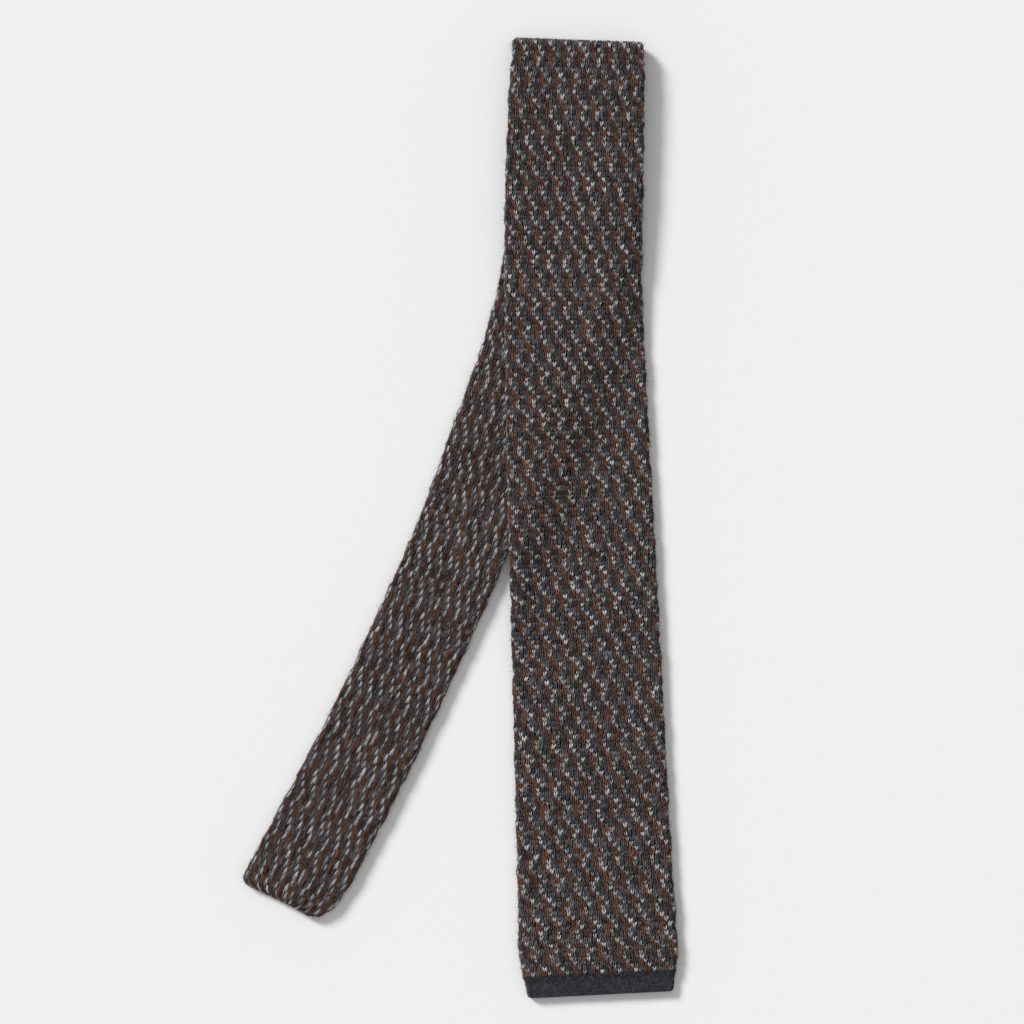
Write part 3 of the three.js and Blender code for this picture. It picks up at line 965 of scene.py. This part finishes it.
middle = on_tie(column_share.ravel(), row_place.ravel(), 0 * row_place.ravel()) / MM
middle_x, middle_y = [middle[:, axis].reshape(row_place.shape) for axis in (0, 1)]
tail_x = np.interp(-middle_y, -tail_side[:, 1], tail_side[:, 0])
beside_blade = BLADE_RUN + middle_y.clip(-BLADE_RUN, 0)
blade_x, blade_reach = at(tie_stations, beside_blade, (X, LEFT))
doubled = (middle_y > tail_side[-1, 1]) & (middle_y < 0)
under_blade = doubled & (middle_x > blade_x - blade_reach + HIDDEN_MARGIN)
over_tail = doubled & (middle_x < tail_x - HIDDEN_MARGIN)
print("hidden on the tail's back:", int(under_blade.sum()), "on the blade's:", int(over_tail.sum()))

# %% [markdown]
# The duller brown of the chart takes a darker tone than the other, and all wool on the tail takes
# a slightly lighter one, because its knit is stretched.

# %% Lay the jacquard
FACES = {
    "blade_front": (is_blade & is_front, "face"),
    "blade_back": (is_blade & ~is_front & ~over_tail, "under"),
    "tail_back": (~is_blade & is_back & ~under_blade, "face"),
    "tail_front": (~is_blade & ~is_back, "under"),
}
YARN_LETTERS = {"grey": "G", "charcoal": "D", "brown": "Bb"}
TAIL_LIGHT = 0.25
dullness = (letter == "b") - TAIL_LIGHT * ~is_blade

stitch_pieces = []
for face, (chosen, kind) in FACES.items():
    for yarn, letters in YARN_LETTERS.items():
        here = chosen & is_laid & np.isin(letter, list(letters))
        piece = knit_piece(
            f"{yarn}_stitches_{face}",
            TEMPLATES[kind, yarn],
            column_number[here],
            row_number[here],
            YARNS[yarn],
            dullness[here],
        )
        stitch_pieces.append(piece)

# %% [markdown]
# ## The end band
#
# The blade ends in a band of plain knit in fine charcoal wool. Its stitches are half as wide, so it
# reads as close upright ribs. It is its own short tube, made and covered as the body is.

# %% Band tube
BAND_DEPTH = 0.5  # mm of its ground below the surface
BAND_END = BAND_LENGTH - 0.02  # its ground stops just short of the body
BAND_GRID = 8  # faces along it
BAND_TONE = 0.6


def band_skin(depth):
    def place(round_, share):
        return on_tie(round_, share * BAND_END, 0 * share - depth, band_stations) + SHIFT
    return place


band_mesh = tube_mesh(
    "band_cloth", band_skin(BAND_DEPTH), band_skin(BAND_WALL), BAND_GRID, closed=False,
    tone=BAND_TONE,
)
band_cloth = new_piece("band_cloth", band_mesh, band_wool, "end_band", slot="charcoal_knit")

# %% [markdown]
# The band is thinner than the body. On its upper face the last stitches climb to the body's
# surface, so that no gap opens between the two. The lower face stays flat on the table.

# %% Band stitches
BAND_COLUMNS = 142
BAND_ROWS = 10
BAND_OVERLAP = (0.1, 0.2)  # mm by which stitches may pass the open end and the body's start
BAND_RISE = 0.5  # mm
BAND_RISE_RUN = 2.5  # mm
BAND_FACE = 0.26  # of the way round, from the middle of the front


def laid_on_band(column, row, height):
    along = (row / BAND_ROWS * BODY_START).clip(
        -BAND_OVERLAP[0], BODY_START + BAND_OVERLAP[1]
    )
    face_up = abs(column / BAND_COLUMNS - 0.5) < BAND_FACE
    rise = BAND_RISE * smoothstep(along, BAND_LENGTH - BAND_RISE_RUN, BAND_LENGTH)
    height = height + np.where(face_up, rise, 0)
    return on_tie(column / BAND_COLUMNS, along, height, band_stations) + SHIFT


band_column, band_row = np.meshgrid(np.arange(BAND_COLUMNS), np.arange(BAND_ROWS))
band_stitches = knit_piece(
    "band_stitches",
    stitch_template("band_stitch", 3, 3, FULL_LEGS),
    band_column.ravel(),
    band_row.ravel(),
    band_wool,
    0.0 * band_row.ravel(),
    laid=laid_on_band,
)

# %% [markdown]
# ## The joining yarn
#
# The tube is closed along the centre of its back. A brown yarn crosses from one edge to the other
# once a row and draws them together into a narrow valley. Its brown is darkened as painted shade of
# that valley, so it shows as a dark brown line. Each crossing is one slanted spindle, lying a
# little deeper than the stitches beside it.

# %% Crossings of the joining yarn
SEAM_LEG = ({"foot": (-0.7, -0.45), "top": (0.7, 0.45), "half": 0.3},)
SEAM_COLUMN = -0.5  # the middle of a stitch is half a column further
SEAM_LEVEL = -0.35  # mm
seam_rows = np.arange(ROWS - 2)
seam_yarn = knit_piece(
    "seam_yarn",
    stitch_template("seam_stitch", 4, 4, SEAM_LEG),
    SEAM_COLUMN + 0 * seam_rows,
    seam_rows,
    seam_wool_painted_shade,
    0.0 * seam_rows,
    level=SEAM_LEVEL,
)
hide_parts("back_seam")

# %% [markdown]
# ## Loose fibres
#
# Wool is never clean: short fibres lie loose over the face and soften the stitches. Each is a very
# thin spindle of six faces, rooted at a stitch of its own yarn and laid by the same function as the
# stitches, so it follows every curve of the tie.

# %% Fuzz over the faces
FUZZ_HALF = 0.055  # mm
FUZZ_LENGTH = (0.7, 1.9)  # mm
FUZZ_TURN = 0.6  # radians to either side of the columns
FUZZ_SPREAD = 0.8  # columns and rows round the stitch's middle
FUZZ_LEVEL, FUZZ_LEVEL_SHIFT = 0.05, 0.12  # mm above the surface
FUZZ_TILT = 0.25
FUZZ_COUNT = {"grey": 10000, "charcoal": 10000, "brown": 13000}
FUZZ_RINGS = 2
MM_A_COLUMN, MM_A_ROW = 1.68, 1.78


def fibre_template(rings):
    bm = bmesh.new()
    # The fibres carry the painted crest shading attribute, left at zero.
    bm.verts.layers.float.new("painted_crest_shading")
    bmesh.ops.create_uvsphere(bm, u_segments=3, v_segments=rings, radius=1)
    mesh = bpy.data.meshes.new("fibre")
    bm.to_mesh(mesh)
    bm.free()
    return mesh


def fuzz_piece(yarn, roots):
    count = FUZZ_COUNT[yarn]
    rows, columns = np.nonzero(roots)
    chosen = rng.integers(0, len(rows), count)
    mesh, shape = repeated(f"{yarn}_fuzz", fibre_template(FUZZ_RINGS), count)
    turn = rng.normal(0, FUZZ_TURN, (count, 1))
    side = shape[:, :, 0] * FUZZ_HALF
    way = shape[:, :, 2] * rng.uniform(*FUZZ_LENGTH, (count, 1)) / 2
    sideways = side * np.cos(turn) + way * np.sin(turn)
    endways = way * np.cos(turn) - side * np.sin(turn)
    column = columns[chosen][:, None] + 0.5 + jitter(count, FUZZ_SPREAD) + sideways / MM_A_COLUMN
    row = rows[chosen][:, None] + 0.5 + jitter(count, FUZZ_SPREAD) + endways / MM_A_ROW
    height = FUZZ_LEVEL + jitter(count, FUZZ_LEVEL_SHIFT) + jitter(count, FUZZ_TILT) * way
    height += shape[:, :, 1] * FUZZ_HALF
    points = knitted(column.ravel(), row.ravel(), height.ravel())
    tone = rng.uniform(0, 1, (count, 1)) + 0 * side
    write_mesh(mesh, points, tone, shape)
    print(mesh.name, "fibres", count, "faces", len(mesh.polygons))
    return new_piece(mesh.name, mesh, FUZZ[yarn], slot="jacquard_knit")


seen = (FACES["blade_front"][0] | FACES["tail_back"][0]) & is_laid
fuzz_pieces = [
    fuzz_piece(yarn, seen & np.isin(letter, list(letters))) for yarn, letters in YARN_LETTERS.items()
]

# %% [markdown]
# Along the two edges longer hairs stand off and blur the outline against the table. They are bent
# spindles of twelve faces. First their roots are scattered over the half-rounds of both sides.

# %% Roots along the edges
HAIR_COUNT = 4500
HAIR_END = 1.0  # mm of the tail's end that is left without hairs


def edge_round(along, count):
    """Places on the left and right side's half-rounds."""
    left, right, half = at(tie_stations, along, (LEFT, RIGHT, HALF))
    whole_way = 2 * (left + right - 2 * half) + 2 * np.pi * half
    turn = rng.uniform(0, 1, count) * np.pi * half
    from_left = rng.uniform(0, 1, count) < 0.5
    return np.where(from_left, left - half + turn, whole_way - (right - half + turn)) / whole_way


hair_along = rng.uniform(BODY_START, TIE_END - HAIR_END, HAIR_COUNT)
hair_place = edge_round(hair_along, HAIR_COUNT)
print("hairs:", HAIR_COUNT, "on the left side:", int((hair_place < 0.5).sum()))

# %% [markdown]
# A hair starts inside the knit and points out of the surface with a random lean. It bends away from
# its straight line more and more towards its tip, and none goes through the table.

# %% Hairs at the edges
HAIR_HALF = 0.035  # mm
HAIR_LENGTH = (0.8, 2.4)  # mm
HAIR_ROOT = -0.4  # mm from the surface
HAIR_SCATTER = 0.75
HAIR_CURL = 0.3
HAIR_RINGS = 3
TABLE_CLEAR = 0.02  # mm


def directed(vectors):
    return vectors / np.linalg.norm(vectors, axis=1)[:, None]


fibre_wool = wool("fibre_wool", (62, 48, 44), (92, 82, 80), (150, 146, 144), 1.3, 0.4)
root = on_tie(hair_place, hair_along, np.full(HAIR_COUNT, HAIR_ROOT)) + SHIFT
out = directed(on_tie(hair_place, hair_along, np.full(HAIR_COUNT, HAIR_ROOT + 1)) + SHIFT - root)
direction = directed(out + rng.normal(0, HAIR_SCATTER, (HAIR_COUNT, 3)))
length = rng.uniform(*HAIR_LENGTH, HAIR_COUNT)[:, None] * MM
curl = rng.normal(0, HAIR_CURL, (HAIR_COUNT, 3)) * length

hair_mesh, hair_shape = repeated("edge_fibres", fibre_template(HAIR_RINGS), HAIR_COUNT)
share = (hair_shape[:, :, 2:3] + 1) / 2
points = root[:, None] + direction[:, None] * length[:, None] * share + curl[:, None] * share**2
points[:, :, :2] += hair_shape[:, :, :2] * HAIR_HALF * MM
points[:, :, 2] = points[:, :, 2].clip(TABLE_CLEAR * MM, None)
hair_tone = rng.uniform(0, 1, (HAIR_COUNT, 1)) + 0 * share[:, :, 0]
write_mesh(hair_mesh, points, hair_tone, hair_shape)
edge_fibres = new_piece("edge_fibres", hair_mesh, fibre_wool, slot="jacquard_knit")
print("hairs' faces:", len(hair_mesh.polygons))

# %% [markdown]
#
# The tie's body is a sheet: it was knitted flat, twice as wide as the finished tube, and joined at
# the back. The stitches, the joining yarn, the loose fibres and the narrow band are listed with it,
# and the triangles of each piece are counted.

# %% The body's pieces and their sizes
body_parts = [*stitch_pieces, seam_yarn, *fuzz_pieces, edge_fibres, band_cloth, band_stitches]

triangles = {}
for piece in (knit_cloth, *body_parts):
    piece.data.calc_loop_triangles()
    triangles[piece.name] = len(piece.data.loop_triangles)
print("most triangles in a piece:", max(triangles.values()), "in all:", sum(triangles.values()))

print("packed box", cad_box)
